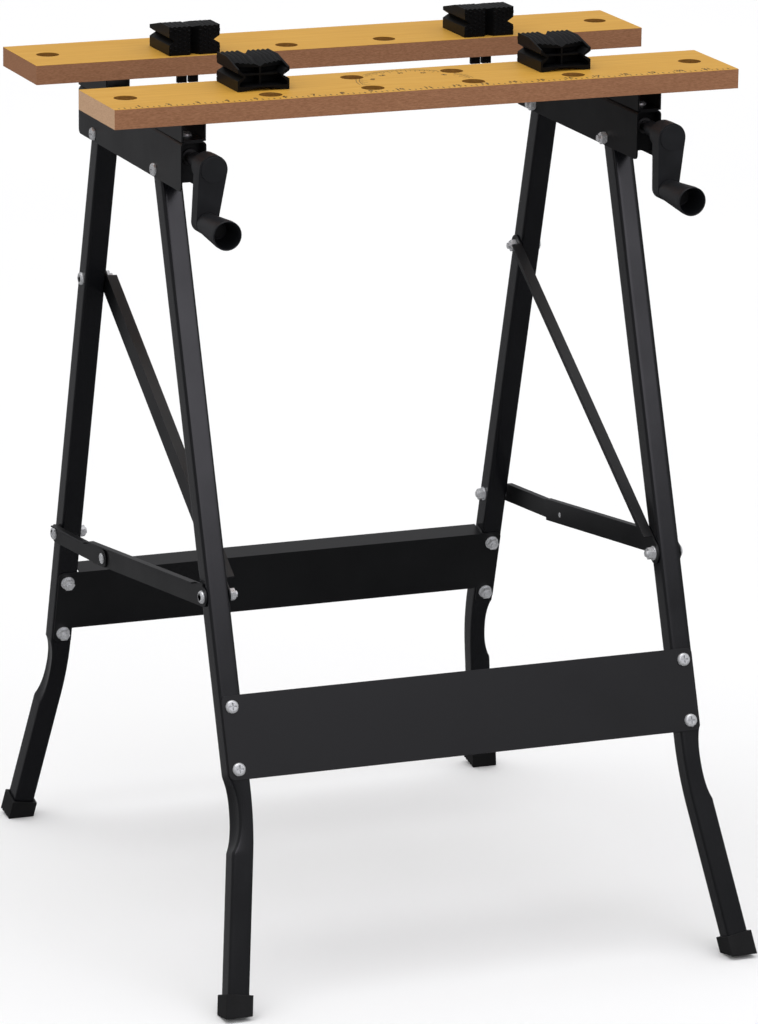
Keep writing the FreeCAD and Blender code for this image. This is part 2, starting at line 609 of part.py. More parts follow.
def peg_top_cutter():
    """What lies over the ridged top: level at first, then falling to the rear."""
    half = PEG_W / 2
    flat = PEG_TOOTH_FLAT / 2
    first = half - flat - (PEG_TEETH - 1) * PEG_TOOTH_PITCH
    line = [(0, PEG_H - PEG_DIP)]
    for k in range(PEG_TEETH):
        x = first + k * PEG_TOOTH_PITCH
        line += [(x - flat, PEG_H), (x + flat, PEG_H)]
        if k < PEG_TEETH - 1:
            line.append((x + PEG_TOOTH_PITCH / 2, PEG_H - PEG_TOOTH_H))
    line += [(half + 2, PEG_H), (half + 2, PEG_H + 15)]
    ring = [(-x, z) for x, z in reversed(line)] + line[1:]
    run = PEG_D - PEG_FLAT_D
    fall = PEG_H - PEG_REAR_H
    level = prism([(x, -1, z) for x, z in ring], (0, PEG_FLAT_D + 1, 0))
    slope = prism([(x, PEG_FLAT_D, z) for x, z in ring], (0, 2 * run, -2 * fall))
    return level.fuse(slope)


def peg_cells(side):
    """The two hollow cells behind the pin on one side of the middle web, one over the other."""
    start = PEG_PIN_BACK + PEG_PIN_R + 3
    web = PEG_WALL / 2
    inner = PEG_W / 2 - PEG_WALL
    waist = inner - PEG_WAIST_IN
    low = [(web, PEG_FLOOR), (inner, PEG_FLOOR), (inner, PEG_WAIST_Z - PEG_WAIST_IN),
           (waist, PEG_WAIST_Z - web), (web, PEG_WAIST_Z - web)]
    high = [(web, PEG_WAIST_Z + web), (waist, PEG_WAIST_Z + web), (inner, PEG_WAIST_Z + PEG_WAIST_IN),
            (inner, PEG_REAR_H - 1), (web, PEG_REAR_H - 1)]
    return [prism([(side * x, start, z) for x, z in ring], (0, PEG_D, 0)) for ring in (low, high)]


def peg():
    half = PEG_W / 2
    inner = half - PEG_WALL
    waist = half - PEG_WAIST_IN
    side = [(half, 0), (half, PEG_WAIST_Z - PEG_WAIST_IN * 0.6), (waist, PEG_WAIST_Z),
            (half, PEG_WAIST_Z + PEG_WAIST_IN * 0.65), (half, PEG_H + 1)]
    ring = [(x, 0, z) for x, z in side] + [(-x, 0, z) for x, z in reversed(side)]
    block = prism(ring, (0, PEG_D, 0))
    for s in (-1, 1):
        for cell in peg_cells(s):
            block = block.cut(cell)
    # the top plate stops short of the rear, and the webs stop between the two
    over_waist = PEG_WAIST_Z + PEG_WAIST_IN
    block = block.cut(box(-inner, inner, PEG_WEB_D, PEG_D + 1, over_waist, PEG_H + 2))
    block = block.cut(box(-inner, inner, PEG_WEB_D, PEG_D + 1, PEG_FLOOR, PEG_WAIST_Z - PEG_WAIST_IN))
    block = block.cut(box(-waist + PEG_WALL, waist - PEG_WALL, PEG_WEB_D, PEG_D + 1, PEG_FLOOR, PEG_H + 2))
    for s in (-1, 1):
        plate = [(s * PEG_WALL / 2, PEG_WEB_D), (s * inner, PEG_TOP_D), (s * inner, PEG_D + 1),
                 (s * PEG_WALL / 2, PEG_D + 1)]
        block = block.cut(prism([(x, y, over_waist) for x, y in plate], (0, 0, PEG_H)))
    block = block.cut(peg_top_cutter())
    w = PEG_GROOVE_W / 2
    groove = [(-w, 0), (0, PEG_GROOVE_D), (w, 0), (w, -1), (-w, -1)]
    block = block.cut(prism([(x, y, -1) for x, y in groove], (0, 0, PEG_H + 2)))
    arch_half = waist
    arch_r = (arch_half ** 2 + PEG_ARCH_H ** 2) / (2 * PEG_ARCH_H)
    arch_y = PEG_PIN_BACK + PEG_PIN_R + 4
    block = block.cut(rod((0, arch_y, PEG_ARCH_H - arch_r), (0, 1, 0), arch_r, PEG_D))
    pin = rod((0, PEG_PIN_BACK, 4), (0, 0, -1), PEG_PIN_R, PEG_PIN_LEN + 4)
    pin = pin.cut(box(-1.1, 1.1, PEG_PIN_BACK - 15, PEG_PIN_BACK + 15, -PEG_PIN_LEN - 1, -4))
    for s in (-1, 1):
        y = PEG_PIN_BACK + s * (PEG_BLADE_HALF + 15)
        pin = pin.cut(box(-15, 15, y - 15, y + 15, -PEG_PIN_LEN - 1, -BOARD_T))
    return block.fuse(pin).removeSplitter()


peg_shape = peg()
for side, x in (("left", -HOLE_COLS[1]), ("right", HOLE_COLS[1])):
    rear = peg_shape.copy()
    rear.translate(V(x, REAR_BOARD_Y + REAR_ROWS[0] - PEG_PIN_BACK, TOP_Z))
    save(side + "_rear_peg", [rear])
    front = peg_shape.copy()
    front.rotate(V(0, 0, 0), V(0, 0, 1), 180)
    front.translate(V(x, FRONT_BOARD_Y + FRONT_ROWS[1] + PEG_PIN_BACK, TOP_Z))
    save(side + "_front_peg", [front])

print("D", D, "C", C, "E", E, "F", F)
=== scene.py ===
import json
import math

import bmesh
import bpy
from mathutils import Matrix, Vector


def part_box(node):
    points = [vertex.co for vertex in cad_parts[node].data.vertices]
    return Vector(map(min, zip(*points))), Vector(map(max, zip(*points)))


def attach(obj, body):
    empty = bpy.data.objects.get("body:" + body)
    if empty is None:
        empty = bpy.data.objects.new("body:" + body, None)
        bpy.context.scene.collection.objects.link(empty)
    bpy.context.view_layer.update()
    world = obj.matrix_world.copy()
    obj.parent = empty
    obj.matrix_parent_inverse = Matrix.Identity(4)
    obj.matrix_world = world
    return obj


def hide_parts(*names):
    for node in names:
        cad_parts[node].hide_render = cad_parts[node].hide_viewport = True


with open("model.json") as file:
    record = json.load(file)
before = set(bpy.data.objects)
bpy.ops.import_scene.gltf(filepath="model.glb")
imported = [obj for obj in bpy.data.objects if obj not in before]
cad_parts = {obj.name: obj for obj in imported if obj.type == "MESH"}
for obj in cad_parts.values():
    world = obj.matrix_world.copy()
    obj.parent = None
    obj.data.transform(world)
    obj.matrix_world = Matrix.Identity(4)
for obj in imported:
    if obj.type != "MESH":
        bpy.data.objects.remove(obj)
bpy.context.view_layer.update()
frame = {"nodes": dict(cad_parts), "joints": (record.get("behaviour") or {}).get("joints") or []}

# Looks of the folding clamping workbench: materials for every node, bent leg tubes with their press
# dents, threaded screws, knurled pegs, the printed scale, and the studio around the bench.
# Metres, in the frame of the CAD model. Lengths written in millimetres are multiplied by MM.

MM = 0.001
SIDES = (("left", -1), ("right", 1))
ENDS = ("front", "rear")

# Places that the CAD model gives
board_low, board_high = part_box("front_board")
jaw_low, jaw_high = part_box("rear_board")
TOP = board_high.z
JOINT_PLACE = {j["name"]: Vector(j["pos_m"]) for j in frame["joints"] if "pos_m" in j}
SIDE_X = JOINT_PLACE["right_crank_turn"].x
SCREW_Z = JOINT_PLACE["right_crank_turn"].z


# ---------------------------------------------------------------- materials

class Finish:
    """A Principled material, with short calls that add and link its texture nodes."""

    def __init__(self, name, colour, roughness, metallic=0.0, specular=0.5):
        self.material = bpy.data.materials.new(name)
        self.material.use_nodes = True
        self.material.diffuse_color = (*colour, 1)
        self.tree = self.material.node_tree
        self.shader = self.tree.nodes["Principled BSDF"]
        self.shader.inputs["Base Color"].default_value = (*colour, 1)
        self.shader.inputs["Roughness"].default_value = roughness
        self.shader.inputs["Metallic"].default_value = metallic
        self.shader.inputs["Specular IOR Level"].default_value = specular
        self.place = self.add("ShaderNodeTexCoord").outputs["Object"]

    def add(self, kind, inputs=(), **settings):
        """A new node with those settings, and with its inputs fed."""
        node = self.tree.nodes.new(kind)
        for key, value in settings.items():
            setattr(node, key, value)
        for key, value in dict(inputs).items():
            self.feed(node.inputs[key], value)
        return node

    def feed(self, socket, value):
        """Link the value to the socket, or set it there if it is a constant."""
        if isinstance(value, bpy.types.NodeSocket):
            self.tree.links.new(value, socket)
        else:
            socket.default_value = value

    def noise(self, size, detail=3.0, stretch=(1, 1, 1)):
        """Noise with features about size metres across, drawn out along the axes by stretch."""
        scale = [1 / (size * s) for s in stretch]
        spot = self.add("ShaderNodeMapping", {"Vector": self.place, "Scale": scale}).outputs["Vector"]
        node = self.add("ShaderNodeTexNoise", {"Vector": spot, "Scale": 1.0, "Detail": detail})
        return node.outputs["Fac"]

    def spread(self, value, low, high, out_low=0.0, out_high=1.0):
        """The value stretched from one range to another, and clamped there."""
        node = self.add("ShaderNodeMapRange", {"Value": value, "From Min": low, "From Max": high,
                                               "To Min": out_low, "To Max": out_high})
        return node.outputs["Result"]

    def math(self, kind, a, b):
        return self.add("ShaderNodeMath", {0: a, 1: b}, operation=kind).outputs["Value"]

    def within(self, value, low, high):
        """1 between low and high, else 0."""
        above = self.math("GREATER_THAN", value, low)
        return self.math("MULTIPLY", above, self.math("LESS_THAN", value, high))

    def mix(self, factor, a, b):
        ends = [(*c, 1) if isinstance(c, tuple) else c for c in (a, b)]
        node = self.add("ShaderNodeMix", {0: factor, 6: ends[0], 7: ends[1]}, data_type="RGBA")
        return node.outputs[2]

    def colour(self, value):
        self.feed(self.shader.inputs["Base Color"], value)

    def roughness(self, value):
        self.feed(self.shader.inputs["Roughness"], value)

    def bump(self, height, depth, strength=1.0):
        """Bump of that depth in metres."""
        node = self.add("ShaderNodeBump", {"Height": height, "Distance": depth, "Strength": strength})
        self.feed(self.shader.inputs["Normal"], node.outputs["Normal"])


TOP_SKIN = 0.25 * MM      # how deep the print on top reaches down the edges
HOLE_RIM = 2.0 * MM       # the hole walls are further than this from the edges of the boards


def board_finish():
    """Fibreboard: golden wood print on top, and bare brown fibres at the edges and in the holes. The front
    board's end faces are painted lighter: partly the end grain's own tone, partly painted light from the
    side.
    """
    f = Finish("board_wood", (0.66, 0.36, 0.06), 0.45, specular=0.16)
    spot = f.add("ShaderNodeSeparateXYZ", {"Vector": f.place}).outputs
    facing = f.add("ShaderNodeTexCoord").outputs["Normal"]
    sideways = f.add("ShaderNodeSeparateXYZ", {"Vector": facing}).outputs["X"]
    on_top = f.math("GREATER_THAN", spot["Z"], TOP - TOP_SKIN)
    # Painted light: the front board's end faces (facing along x) get a lighter colour, partly the end
    # grain's own tone and partly painted light from the side
    painted_light_end = f.spread(f.math("ABSOLUTE", sideways, 0.0), 0.6, 0.9)
    painted_light_end = f.math("MULTIPLY", painted_light_end, f.math("LESS_THAN", spot["Y"], 0.0))
    in_front = f.within(spot["Y"], board_low.y + HOLE_RIM, board_high.y - HOLE_RIM)
    in_rear = f.within(spot["Y"], jaw_low.y + HOLE_RIM, jaw_high.y - HOLE_RIM)
    off_ends = f.within(spot["X"], board_low.x + HOLE_RIM, board_high.x - HOLE_RIM)
    off_underside = f.math("GREATER_THAN", spot["Z"], board_low.z + 0.5 * MM)
    in_hole = f.math("MULTIPLY", f.math("ADD", in_front, in_rear), off_ends)
    in_hole = f.math("MULTIPLY", in_hole, off_underside)
    grain = f.spread(f.noise(3.2 * MM, 4, (26, 1, 1)), 0.36, 0.68)
    plank = f.spread(f.noise(22 * MM, 2, (9, 1, 1)), 0.35, 0.65)
    fleck = f.spread(f.noise(1.1 * MM, 2, (14, 1, 1)), 0.60, 0.78)
    print_tone = f.mix(grain, (0.63, 0.325, 0.042), (0.71, 0.395, 0.068))
    print_tone = f.mix(f.math("MULTIPLY", plank, 0.5), print_tone, (0.65, 0.35, 0.056))
    print_tone = f.mix(f.math("MULTIPLY", fleck, 0.30), print_tone, (0.47, 0.21, 0.03))
    fibre = f.spread(f.noise(0.8 * MM, 5, (4, 1.4, 0.8)), 0.34, 0.68)
    layer = f.spread(f.noise(2.4 * MM, 3, (16, 6, 0.8)), 0.35, 0.65)
    bare = f.mix(fibre, (0.228, 0.104, 0.052), (0.328, 0.159, 0.084))
    bare = f.mix(f.math("MULTIPLY", layer, 0.3), bare, (0.25, 0.110, 0.053))
    # Painted light: the lighter colour of the front board's end faces
    bare = f.mix(painted_light_end, bare, f.mix(fibre, (0.40, 0.245, 0.145), (0.58, 0.375, 0.235)))
    bare = f.mix(in_hole, bare, f.mix(fibre, (0.20, 0.092, 0.018), (0.31, 0.145, 0.031)))
    f.colour(f.mix(on_top, bare, print_tone))
    f.roughness(f.mix(on_top, (0.85, 0.85, 0.85), (0.45, 0.45, 0.45)))
    height = f.math("MULTIPLY", fibre, f.math("SUBTRACT", 1.0, on_top))
    f.bump(f.math("ADD", height, f.math("MULTIPLY", grain, 0.08)), 0.12 * MM, 0.7)
    return f.material


def paint_finish(name, colour, roughness, specular=0.5):
    """Powder coat: fine orange peel, a little uneven in tone and gloss."""
    f = Finish(name, colour, roughness, specular=specular)
    cloud = f.noise(55 * MM, 3)
    peel = f.noise(0.9 * MM, 2)
    speck = f.spread(f.noise(0.5 * MM, 1), 0.66, 0.74)
    light = tuple(c * 1.3 + 0.0006 for c in colour)
    tone = f.mix(f.spread(cloud, 0.3, 0.7), colour, light)
    f.colour(f.mix(f.math("MULTIPLY", speck, 0.25), tone, tuple(c * 2.2 + 0.003 for c in colour)))
    f.roughness(f.spread(cloud, 0.3, 0.7, roughness - 0.04, roughness + 0.05))
    f.bump(peel, 0.03 * MM, 0.35)
    return f.material


def metal_finish(name, colour, roughness, scratch, metallic=1.0):
    """Plated or plain steel with fine scratches and cloudy tone."""
    f = Finish(name, colour, roughness, metallic=metallic)
    cloud = f.noise(2.5 * MM, 3)
    fine = f.noise(0.35 * MM, 2)
    f.colour(f.mix(f.spread(cloud, 0.3, 0.7), tuple(c * 0.82 for c in colour), colour))
    f.roughness(f.spread(fine, 0.3, 0.7, roughness - 0.07, roughness + 0.1))
    f.bump(fine, scratch, 0.4)
    return f.material


def moulded_finish(name, colour, roughness, grain, specular=0.4):
    """Moulded plastic or rubber with a fine eroded grain."""
    f = Finish(name, colour, roughness, specular=specular)
    texture = f.noise(grain, 3)
    cloud = f.noise(18 * MM, 2)
    f.colour(f.mix(f.spread(cloud, 0.3, 0.7), colour, tuple(c * 1.45 + 0.0006 for c in colour)))
    f.roughness(f.spread(texture, 0.3, 0.7, roughness - 0.06, roughness + 0.08))
    f.bump(texture, 0.06 * MM, 0.5)
    return f.material


def ink_finish():
    """Dark brown print, a little worn."""
    fresh, worn = (0.035, 0.018, 0.008), (0.20, 0.10, 0.03)
    f = Finish("print_ink", fresh, 0.5, specular=0.28)
    wear = f.spread(f.noise(1.5 * MM, 3), 0.42, 0.75)
    f.colour(f.mix(f.math("MULTIPLY", wear, 0.5), fresh, worn))
    f.bump(wear, 0.01 * MM, 0.2)
    return f.material


BOARD = board_finish()
SHEET = paint_finish("black_steel", (0.0036, 0.0038, 0.0046), 0.36)
# Painted shade: a darker, less glossy copy of black_steel for the right bracket and its carriers, whose
# inner faces lie in shade
SHADED_SHEET = paint_finish("shaded_black_steel_copy", (0.0030, 0.0031, 0.0036), 0.42, 0.16)
TUBE = paint_finish("black_tube", (0.0036, 0.0038, 0.0048), 0.20)
ZINC = metal_finish("zinc_steel", (0.80, 0.81, 0.83), 0.25, 0.03 * MM, 0.6)
SCREW = metal_finish("screw_steel", (0.115, 0.113, 0.115), 0.38, 0.05 * MM)
CRANK = moulded_finish("crank_plastic", (0.0085, 0.0090, 0.0106), 0.42, 0.45 * MM, 0.32)
PEG = moulded_finish("peg_plastic", (0.0021, 0.0022, 0.0025), 0.44, 0.5 * MM, 0.12)
RUBBER = moulded_finish("black_rubber", (0.0038, 0.0038, 0.0042), 0.60, 0.6 * MM)
INK = ink_finish()


# ---------------------------------------------------------------- carried-over CAD nodes

WELD_GAP = 0.002 * MM


def soften(piece, bevel):
    """Modifiers that round a CAD node's edges a little, without touching its own mesh."""
    weld = piece.modifiers.new("weld", "WELD")
    weld.merge_threshold = WELD_GAP
    flat = piece.modifiers.new("flat", "DECIMATE")
    flat.decimate_type = "DISSOLVE"
    flat.angle_limit = math.radians(0.5)
    if bevel:
        edge = piece.modifiers.new("edge", "BEVEL")
        edge.width = bevel
        edge.segments = 2
        edge.limit_method = "ANGLE"
        edge.angle_limit = math.radians(32)
    shading = piece.modifiers.new("shading", "WEIGHTED_NORMAL")
    shading.weight = 90


def dress(node, material, bevel):
    """Give a CAD node its material and softer edges."""
    piece = frame["nodes"][node]
    piece.data.materials.clear()
    piece.data.materials.append(material)
    soften(piece, bevel)


SINGLE = {
    "front_board": (BOARD, 0.35 * MM), "rear_board": (BOARD, 0.35 * MM),
    "front_crossbar": (SHEET, 0.45 * MM), "rear_crossbar": (SHEET, 0.45 * MM),
}
PAIRED = {
    "bracket": (SHEET, 0.45 * MM), "front_carrier": (SHEET, 0.5 * MM), "rear_carrier": (SHEET, 0.5 * MM),
    "diagonal": (SHEET, 0.4 * MM), "front_knee_link": (SHEET, 0.4 * MM), "rear_knee_link": (SHEET, 0.4 * MM),
    "crank": (CRANK, 0.9 * MM), "grip": (CRANK, 0.8 * MM), "grip_pin": (SHEET, 0.3 * MM),
    "front_peg": (PEG, 0.3 * MM), "rear_peg": (PEG, 0.3 * MM),
    "front_foot": (RUBBER, 1.0 * MM), "rear_foot": (RUBBER, 1.0 * MM),
    "carrier_bolts": (ZINC, 0.2 * MM), "clamp_nut": (SCREW, 0.4 * MM), "clamp_nut_bolt": (ZINC, 0.2 * MM),
    "front_bar_bolts": (ZINC, 0.2 * MM), "rear_bar_bolts": (ZINC, 0.2 * MM), "pivot_bolts": (ZINC, 0.2 * MM),
    "front_brace_bolt": (ZINC, 0.2 * MM), "rear_brace_bolts": (ZINC, 0.2 * MM),
    "diagonal_end_nut": (ZINC, 0.2 * MM), "knee_rivet": (ZINC, 0.4 * MM), "rear_link_bolt": (ZINC, 0.2 * MM),
}
for name, look in SINGLE.items():
    dress(name, *look)
for name, look in PAIRED.items():
    for side, _ in SIDES:
        dress(side + "_" + name, *look)
# Painted shade: the right bracket and its carriers get a darker, less glossy copy of the black steel, since
# their inner faces lie in shade and look nearly black
for name in ("right_bracket", "right_front_carrier", "right_rear_carrier"):
    frame["nodes"][name].data.materials[0] = SHADED_SHEET


# ---------------------------------------------------------------- new pieces

def make_piece(name, points, faces, material, body, sharp=35):
    """A mesh object in the row frame, riding on a body."""
    mesh = bpy.data.meshes.new(name)
    mesh.from_pydata([tuple(p) for p in points], [], faces)
    mesh.validate()
    mesh.shade_smooth()
    mesh.set_sharp_from_angle(angle=math.radians(sharp))
    mesh.materials.append(material)
    piece = bpy.data.objects.new(name, mesh)
    bpy.context.scene.collection.objects.link(piece)
    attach(piece, body)
    return piece


def tube_faces(rings, count, first=0, flip=False):
    """Quads between rings of count points each."""
    faces = []
    for r in range(rings - 1):
        for k in range(count):
            a = first + r * count + k
            b = first + r * count + (k + 1) % count
            quad = (a, b, b + count, a + count)
            faces.append(quad[::-1] if flip else quad)
    return faces


def circle(middle, radius, y, count):
    """Points of a circle round an axis along y."""
    turns = [2 * math.pi * k / count for k in range(count)]
    return [middle + Vector((radius * math.cos(a), y, radius * math.sin(a))) for a in turns]


# Legs: bent square tubes, with the press dent at the inside of the bend

PIVOT_TO_TOP = 8.5 * MM
TUBE_HALF = 10.0 * MM
TUBE_WALL = 1.4 * MM
CORNER_R = 2.2 * MM
FOOT_Y = 310.0 * MM
FOOT_OUT = 26.0 * MM
BEND_UP = 172.0 * MM
BEND_LEN = 60.0 * MM
SOLE_T = 3.0 * MM
FOOT_HALF = 12.6 * MM
SOLE_SLOPE = 4.2 / 25.2
CORNER_STEPS = 5
FLAT_STEPS = 7
RING_STEP = 2.5 * MM      # between the close rings, round the bend
CLOSE_BEFORE = 42 * MM    # they start this far before the bend
CLOSE_MORE = 80 * MM      # and run this much longer than the bend

# Press dents: how far the outer wall is pushed in at its front and back corners, in millimetres
DENTS = {
    "left_front": (7.2, 3.2), "right_front": (3.6, 7.0),
    "left_rear": (2.6, 4.6), "right_rear": (4.6, 2.6),
}
DENT_LEN = 68.0 * MM
DENT_VALLEY = 1.0 * MM    # more, in the middle of the wall
DENT_SINK = 1.0 * MM      # how far the deeper corner also moves toward the tube's middle
DENT_BELOW = {"front": -6.5 * MM, "rear": 0.0 * MM}    # from the crossbar's lower edge to the dent


def square_ring(half, radius):
    """Points of a rounded square, counterclockwise, with extra ones along its flats."""
    ring = []
    for quarter in range(4):
        turn = Matrix.Rotation(quarter * math.pi / 2, 2)
        for k in range(CORNER_STEPS):
            a = math.pi / 2 * k / (CORNER_STEPS - 1)
            ring.append(turn @ Vector((half - radius + radius * math.cos(a),
                                       half - radius + radius * math.sin(a))))
        start = Vector((half - radius, half))
        stop = Vector((radius - half, half))
        for k in range(1, FLAT_STEPS):
            ring.append(turn @ start.lerp(stop, k / FLAT_STEPS))
    return ring


class Leg:
    """One leg: z runs down it from its pivot, x is outward along the boards and y out of its front face."""

    def __init__(self, side, sign, end):
        pivot = JOINT_PLACE[end + "_leg_fold"]
        foot = Vector((0, -FOOT_Y if end == "front" else FOOT_Y, 0))
        self.sign = sign
        self.end = end
        self.name = side + "_" + end + "_leg"
        self.pivot = Vector((0, pivot.y, pivot.z))
        self.length = (foot - self.pivot).length
        self.down = (foot - self.pivot).normalized()
        self.out = Vector((0, self.down.z, -self.down.y))
        self.dent = [depth * MM for depth in DENTS[side + "_" + end]]
        self.tilt = math.atan2(FOOT_OUT, BEND_UP)
        self.bend_r = BEND_LEN / 2 / math.tan(self.tilt / 2)
        self.bend_top = self.length - BEND_UP - BEND_LEN / 2
        bar_low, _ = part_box(end + "_crossbar")
        self.dent_top = (self.pivot.z - bar_low.z) / -self.down.z + DENT_BELOW[end]

    def axis(self, t):
        """Sideways place, depth and tilt of the tube's axis at distance t down the leg."""
        u = t - self.bend_top
        if u <= 0:
            return 0.0, t, 0.0
        turned = min(u / self.bend_r, self.tilt)
        rest = u - turned * self.bend_r
        x = self.bend_r * (1 - math.cos(turned)) + rest * math.sin(turned)
        z = self.bend_top + self.bend_r * math.sin(turned) + rest * math.cos(turned)
        return x, z, turned

    def dented(self, x, y, t):
        """Push the outer wall of the bend inward."""
        u = (t - self.dent_top) / DENT_LEN
        if not 0 < u < 1:
            return x, y
        amount = (1 - abs(2 * u - 1) ** 2.5) ** 0.8
        front, back = self.dent
        across = (y / TUBE_HALF + 1) / 2
        depth = back + (front - back) * across
        depth += DENT_VALLEY * math.sin(math.pi * min(max(across, 0), 1))
        reach = max((x / TUBE_HALF + 1) / 2, 0) ** 1.5
        lean = (front - back) / (front + back)
        sink = DENT_SINK * max(y / TUBE_HALF * math.copysign(1, lean), 0) * reach
        return x - amount * depth * reach, y - amount * sink * math.copysign(1, lean)

    def place(self, x, y, t):
        """Where the point x, y of the tube's section is, at distance t down the leg."""
        x, y = self.dented(x, y, t)
        ax, az, turned = self.axis(t)
        side = ax + x * math.cos(turned)
        deep = az - x * math.sin(turned)
        return Vector((self.sign * (SIDE_X + side), 0, 0)) + self.pivot + self.down * deep + self.out * y

    def to_floor(self, p):
        """Slide a point along the lower leg to just above the foot's sloping sole."""
        run = Vector((self.sign * math.sin(self.tilt), 0, 0)) + self.down * math.cos(self.tilt)
        way = math.copysign(1, self.down.y)
        floor = SOLE_T + 0.3 * MM + SOLE_SLOPE * (way * p.y - FOOT_Y + FOOT_HALF)
        return p + run * ((floor - p.z) / (run.z - SOLE_SLOPE * way * run.y))

    def stations(self):
        """Distances down the leg that get a ring: few on the straight runs, many round the bend."""
        stops = [-PIVOT_TO_TOP, 60 * MM, self.length / 3, self.bend_top - 48 * MM]
        close = int((BEND_LEN + CLOSE_MORE) / RING_STEP)
        start = self.bend_top - CLOSE_BEFORE
        stops += [start + k * RING_STEP for k in range(close + 1)]
        stops += [self.length - 90 * MM, self.length - 30 * MM]
        return stops

    def build(self):
        """Outer and inner skin of the tube, joined at both open ends."""
        points = []
        stops = self.stations()
        skins = [square_ring(TUBE_HALF, CORNER_R), square_ring(TUBE_HALF - TUBE_WALL, CORNER_R - TUBE_WALL)]
        count = len(skins[0])
        for ring in skins:
            for t in stops:
                points += [self.place(p.x, p.y, t) for p in ring]
            points += [self.to_floor(p) for p in points[-count:]]
        rings = len(stops) + 1
        inner = rings * count
        flip = self.sign < 0
        faces = tube_faces(rings, count, 0, flip) + tube_faces(rings, count, inner, not flip)
        for ring, turned in ((0, False), (rings - 1, True)):
            for k in range(count):
                a = ring * count + k
                b = ring * count + (k + 1) % count
                quad = (a, inner + a, inner + b, b)
                faces.append(quad[::-1] if turned != flip else quad)
        body = self.end + "_legs"
        piece = make_piece(self.name + "_tube", points, faces, TUBE, body, sharp=50)
        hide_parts(self.name)


for side, sign in SIDES:
    for end in ENDS:
        Leg(side, sign, end).build()


# Printed scale and protractor on the front board

INK_T = 0.05 * MM         # above and below the top face
PRINT_STRETCH = 1.075     # the scale runs this much long
INCH = 25.4 * PRINT_STRETCH * MM
CENTIMETRE = 10.0 * PRINT_STRETCH * MM
EDGE_GAP = 2.0 * MM
TICK_LEN = 4.8 * MM
HALF_TICK_LEN = 3.0 * MM
TICK_W = 1.1 * MM
DIGIT_H = 6.2 * MM
DIGIT_BOLD = 0.22 * MM
DIGIT_UP = 7.6 * MM       # from the foot of the ticks to the middle of the digits
DIGIT_SHIFT = -1.5 * MM   # the digits stand a little left of their inch
DIGIT_ROOM = 8 * MM       # and at least this far from the board's end
CAPITAL_SHARE = 0.72      # height of a digit in the built-in font, as a share of its size


class Print:
    """Thin ink shapes on top of the front board, gathered in one mesh."""

    def __init__(self):
        self.points = []
        self.faces = []

    def bar(self, a, b, width):
        """A straight stroke from a to b."""
        a, b = Vector(a), Vector(b)
        off = (b - a).orthogonal().normalized() * width / 2
        corners = [a - off, b - off, b + off, a + off]
        n = len(self.points)
        for z in (TOP - INK_T, TOP + INK_T):
            self.points += [Vector((c.x, c.y, z)) for c in corners]
        self.faces += [(n, n + 1, n + 2, n + 3), (n + 7, n + 6, n + 5, n + 4)]
        self.faces += [(n + k, n + 4 + k, n + 4 + (k + 1) % 4, n + (k + 1) % 4) for k in range(4)]

    def text(self, words, x, y, height, turn=0.0):
        """Words centred on x and y, turned about that point."""
        font = bpy.data.curves.new("digits", "FONT")
        font.body = words
        font.size = height / CAPITAL_SHARE
        font.align_x = "CENTER"
        font.extrude = INK_T
        font.offset = DIGIT_BOLD
        font.resolution_u = 3
        writer = bpy.data.objects.new("digits", font)
        bpy.context.scene.collection.objects.link(writer)
        bpy.context.view_layer.update()
        mesh = writer.to_mesh()
        n = len(self.points)
        spin = Matrix.Rotation(turn, 2)
        for v in mesh.vertices:
            flat = spin @ Vector((v.co.x, v.co.y - height / 2))
            self.points.append(Vector((flat.x + x, flat.y + y, v.co.z + TOP)))
        self.faces += [tuple(n + i for i in p.vertices) for p in mesh.polygons]
        writer.to_mesh_clear()
        bpy.data.objects.remove(writer)
        bpy.data.curves.remove(font)

    def finish(self, name):
        """Make the gathered shapes one piece."""
        piece = make_piece(name, self.points, self.faces, INK, "top")
        weld = piece.modifiers.new("weld", "WELD")
        weld.merge_threshold = WELD_GAP


def print_scale():
    """Centimetre ticks along the edge, and inch numbers behind them."""
    ink = Print()
    edge = board_low.y + EDGE_GAP
    length = board_high.x - board_low.x
    for k in range(1, int(length / CENTIMETRE * 2)):
        x = board_low.x + k * CENTIMETRE / 2
        tall = TICK_LEN if k % 2 == 0 else HALF_TICK_LEN
        ink.bar((x, edge), (x, edge + tall), TICK_W)
    for n in range(1, int(length / INCH) + 1):
        x = board_low.x + n * INCH + DIGIT_SHIFT
        if x < board_high.x - DIGIT_ROOM:
            ink.text(str(n), x, edge + DIGIT_UP, DIGIT_H)
    ink.finish("ruler_print")


PROTRACTOR = Vector((0.0, -105.0 * MM))
ARC_R = (54.5 * MM, 51.6 * MM)
ARC_W = 0.55 * MM
DEGREE_W = 0.45 * MM
DEGREE_OFF = 0.6 * MM          # from the inner arc to the start of a tick
DEGREE_IN = 7.0 * MM           # from the inner arc to the end of each tenth degree's tick
HALF_DEGREE_IN = 3.5 * MM
LABEL_IN = 11.5 * MM
LABEL_H = 3.6 * MM
HOLE_CLEAR = 11.5 * MM
HOLES = [(s * x * MM, y * MM) for s in (-1, 1) for x in (48.5, 146.0) for y in (-121.0, -69.0)]


def clear_of_holes(spot):
    """Whether a place on the front board is away from all its inner peg holes."""
    return all((spot - Vector(hole)).length_squared > HOLE_CLEAR ** 2 for hole in HOLES)


def heading(degrees):
    """Unit vector at that angle."""
    return Vector((math.cos(math.radians(degrees)), math.sin(math.radians(degrees))))


